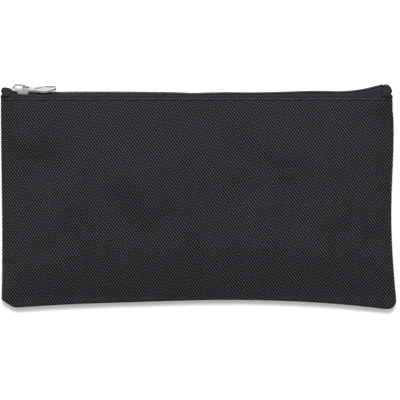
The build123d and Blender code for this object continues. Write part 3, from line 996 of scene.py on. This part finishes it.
def make_tab_stitching():
    """A bar tack on each tab: close slanting stitches over the end of the zipper."""
    for side, left_margin, right_margin, foot, head in TACKS:
        low, high = box_mm(f"zipper_tab_{side}")
        lines = []
        for x in np.arange(low[0] + left_margin, high[0] - right_margin, TACK_STEP):
            start = np.array([x, low[1] + foot, TACK_Z])
            end = np.array([x + TACK_SLANT, low[1] + head, TACK_Z])
            lines.append(stitch_line(start, end, np.array([0, 0, TACK_RISE])))
        piece = make_stitches(f"tab_stitches_{side}", lines, tack_thread)
        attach(piece, "back_side")
        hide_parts(f"tab_stitching_{side}")


# ---- bindings inside the pouch ----

BINDING_STEP = 2.5
BINDING_AROUND = 18
BINDING_SWAY = 0.3          # how far the tape wanders, which its width makes room for
BINDING_SWAY_LENGTH = 16


def make_binding(name, node, lengthwise):
    """Tape folded over the seam's raw edges: a flat loop in section, a little wavy along its length."""
    low, high = box_mm(node)
    across = 1 - lengthwise
    count = int((high[lengthwise] - low[lengthwise]) / BINDING_STEP)
    middle = (low + high) / 2
    half_width = (high[across] - low[across]) / 2 - BINDING_SWAY
    half_thickness = (high[2] - low[2]) / 2
    points, uv = [], []
    for place in np.linspace(low[lengthwise], high[lengthwise], count):
        sway = BINDING_SWAY * waver(place, middle[across], BINDING_SWAY_LENGTH, 21)
        for step in range(BINDING_AROUND):
            turn = 2 * math.pi * step / BINDING_AROUND
            point = [0.0, 0.0, middle[2] + half_thickness * squared(math.sin(turn), power=0.8)]
            point[lengthwise] = place
            point[across] = middle[across] + sway + half_width * squared(math.cos(turn), power=0.5)
            points.append(point)
            uv.append((place, 2 * half_width * step / BINDING_AROUND))
    faces = ring_faces(count, BINDING_AROUND, flip=lengthwise == 1)
    piece = make_piece(name, np.array(points), faces, [binding_cloth], np.array(uv))
    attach(piece, "back_side")
    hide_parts(node)


def make_bindings():
    make_binding("binding_left", "seam_binding_left", 1)
    make_binding("binding_right", "seam_binding_right", 1)
    make_binding("binding_bottom", "seam_binding_bottom", 0)


# ---- metal parts ----

PIVOT = np.array(joint("pull_swing")["pos_m"]) / MM
PULL_AXIS = np.array(joint("pull_swing")["axis"])

SLIDER_UPRIGHT = 3.0        # degrees that the slider stands straighter than the CAD part
SLIDER_RAISE = 0.2
NOSE_STRETCH = 0.7

PULL_WAVE = 0.9             # how far the pull curves in at its neck before its tip turns out
PULL_HALF_WAVES = 1.2
PULL_EYE = 6.5              # length of the eye, which keeps its outline
PULL_NECK = 2.75            # least half-width, from the eye to the neck's end
PULL_NECK_END = 11.0
PULL_SOFTENING = 12
PULL_TRIM = 1.0             # how much shorter the pull is than the CAD part
SLICE = 0.6
ON_SLICE = 0.05             # points this near to a cut belong to it
WELD = 0.004                # points nearer than this are one point


def round_edges(piece, width_mm):
    """Rounds the edges of a cast part."""
    weld = piece.modifiers.new("weld", "WELD")
    weld.merge_threshold = WELD * MM
    bevel = piece.modifiers.new("cast_edges", "BEVEL")
    bevel.width = width_mm * MM
    bevel.segments = 3
    bevel.limit_method = "ANGLE"
    bevel.angle_limit = math.radians(40)


def metal_piece(name, cut, material, rounding, body, node):
    """A cast part from a bmesh that was taken from its CAD node."""
    mesh = bpy.data.meshes.new(name)
    cut.to_mesh(mesh)
    cut.free()
    mesh.materials.clear()
    mesh.materials.append(material)
    mesh.polygons.foreach_set("material_index", [0] * len(mesh.polygons))
    mesh.polygons.foreach_set("use_smooth", [True] * len(mesh.polygons))
    mesh.set_sharp_from_angle(angle=math.radians(35))
    piece = bpy.data.objects.new(name, mesh)
    bpy.context.scene.collection.objects.link(piece)
    round_edges(piece, rounding)
    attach(piece, body)
    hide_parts(node)


def make_slider():
    """The slider, turned a little about the pull's pivot so that its crown stands straighter up."""
    centre = np.array([(slider_low[0] + slider_high[0]) / 2, PIVOT[1], PIVOT[2]])
    half = (slider_high[0] - slider_low[0]) / 2
    cut = bmesh.new()
    cut.from_mesh(frame["nodes"]["slider_body"].data)
    turn = Matrix.Rotation(math.radians(SLIDER_UPRIGHT), 3, "X")
    for vertex in cut.verts:
        place = turn @ Vector(np.array(vertex.co) / MM - centre)
        place.x -= NOSE_STRETCH * max(-place.x / half, 0)
        place.y += SLIDER_RAISE
        vertex.co = (place + Vector(centre)) * MM
    metal_piece("slider", cut, slider_metal, rounding=0.18, body="slider", node="slider_body")


def pull_widening(places, sides, slices):
    """How many times wider the pull becomes at each point, so that its neck is fuller and smooth."""
    widths = np.array([np.abs(sides[np.abs(places - place) < ON_SLICE]).max() for place in slices])
    smooth = widths.copy()
    eye, neck_end = int(PULL_EYE / SLICE), int(PULL_NECK_END / SLICE)
    smooth[eye:neck_end] = np.maximum(smooth[eye:neck_end], PULL_NECK)
    smooth[eye - 1:-2] = softened(smooth[eye - 1:-2], PULL_SOFTENING)
    return np.interp(places, slices, smooth / widths, 1.0, 1.0)


def make_pull():
    """The pull tab bowed along its length, cut from the CAD part in slices and bent."""
    reach = vertices_mm("pull_tab") - PIVOT
    tip = reach[np.linalg.norm(reach, axis=1).argmax()]
    along = tip - PULL_AXIS * tip.dot(PULL_AXIS)
    length = np.linalg.norm(along)
    along /= length
    outward = np.cross(PULL_AXIS, along)
    outward *= math.copysign(1, outward[1])
    slices = np.arange(2 * SLICE, length, SLICE)

    cut = bmesh.new()
    cut.from_mesh(frame["nodes"]["pull_tab"].data)
    bmesh.ops.remove_doubles(cut, verts=cut.verts, dist=WELD * MM)
    for place in slices:
        bmesh.ops.bisect_plane(
            cut,
            geom=cut.verts[:] + cut.edges[:] + cut.faces[:],
            plane_co=Vector((PIVOT + along * place) * MM),
            plane_no=Vector(along),
        )
    reach = np.array([vertex.co for vertex in cut.verts]) / MM - PIVOT
    places, sides = reach @ along, reach @ PULL_AXIS
    widening = pull_widening(places, sides, slices)
    for vertex, place, side, wider in zip(cut.verts, places, sides, widening):
        share = max(place / length, 0)
        bow = PULL_WAVE * math.sin(PULL_HALF_WAVES * math.pi * share)
        shift = PULL_AXIS * side * (wider - 1) - outward * bow - along * PULL_TRIM * share
        vertex.co += Vector(shift * MM)
    metal_piece("pull", cut, pull_metal, rounding=0.25, body="pull", node="pull_tab")


# ---- studio ----

FLOOR_HALF = 2500.0
SKY_HORIZON = 0.3
SKY_ZENITH = 1.0
KEY_PLACE = (0.0, 0.9, 1.2)     # in metres, as is its size
KEY_SIZE = 1.0
KEY_POWER = 30.0
VIEW_WIDTH = 285.1              # millimetres of the pouch's plane that the picture is wide
CAMERA_HEIGHT = 1600.0
LOOK_AT = (1.07, -2.14)


def make_floor():
    signs = [(-1, -1), (1, -1), (1, 1), (-1, 1)]
    corners = np.array([(x * FLOOR_HALF, y * FLOOR_HALF, 0) for x, y in signs])
    shader = Shader("studio_floor")
    tone = shader.vary(shader.noise(shader.object_mm(), scale=0.01), 0.0, 1.0)
    paper = shader.finished(shader.mix(tone, grey(0.9), grey(0.92)), roughness=0.9, specular=0.1)
    floor = make_piece("studio_floor", corners, [[0, 1, 2, 3]], [paper])


def make_key_light():
    """A large soft lamp beyond the zipper, turned to the pouch."""
    data = bpy.data.lights.new("key_light", "AREA")
    data.shape = "DISK"
    data.size = KEY_SIZE
    data.energy = KEY_POWER
    light = bpy.data.objects.new("key_light", data)
    light.location = KEY_PLACE
    light.rotation_euler = (-Vector(KEY_PLACE)).to_track_quat("-Z", "Y").to_euler()
    bpy.context.scene.collection.objects.link(light)


def make_sky():
    """A white sky that dims towards the horizon."""
    world = bpy.data.worlds.new("studio")
    world.use_nodes = True
    nodes, links = world.node_tree.nodes, world.node_tree.links
    direction = nodes.new("ShaderNodeTexCoord").outputs["Generated"]
    parts = nodes.new("ShaderNodeSeparateXYZ")
    strength = nodes.new("ShaderNodeMapRange")
    links.new(direction, parts.inputs[0])
    links.new(parts.outputs["Z"], strength.inputs["Value"])
    strength.inputs["To Min"].default_value = SKY_HORIZON
    strength.inputs["To Max"].default_value = SKY_ZENITH
    links.new(strength.outputs[0], nodes["Background"].inputs["Strength"])
    nodes["Background"].inputs["Color"].default_value = (1, 1, 1, 1)
    bpy.context.scene.world = world


def make_camera():
    """A camera straight above the pouch."""
    data = bpy.data.cameras.new("camera")
    data.sensor_width = 36.0
    data.lens = data.sensor_width * (CAMERA_HEIGHT - SEAM_Z) / VIEW_WIDTH
    data.clip_end = 20.0
    camera = bpy.data.objects.new("camera", data)
    camera.location = (LOOK_AT[0] * MM, LOOK_AT[1] * MM, CAMERA_HEIGHT * MM)
    bpy.context.scene.collection.objects.link(camera)
    bpy.context.scene.camera = camera


make_panels()
make_zipper()
make_tabs()
make_hem_stitching()
make_tab_stitching()
make_bindings()
make_slider()
make_pull()
make_floor()
make_sky()
make_key_light()
make_camera()
bpy.context.scene.view_settings.view_transform = "Standard"
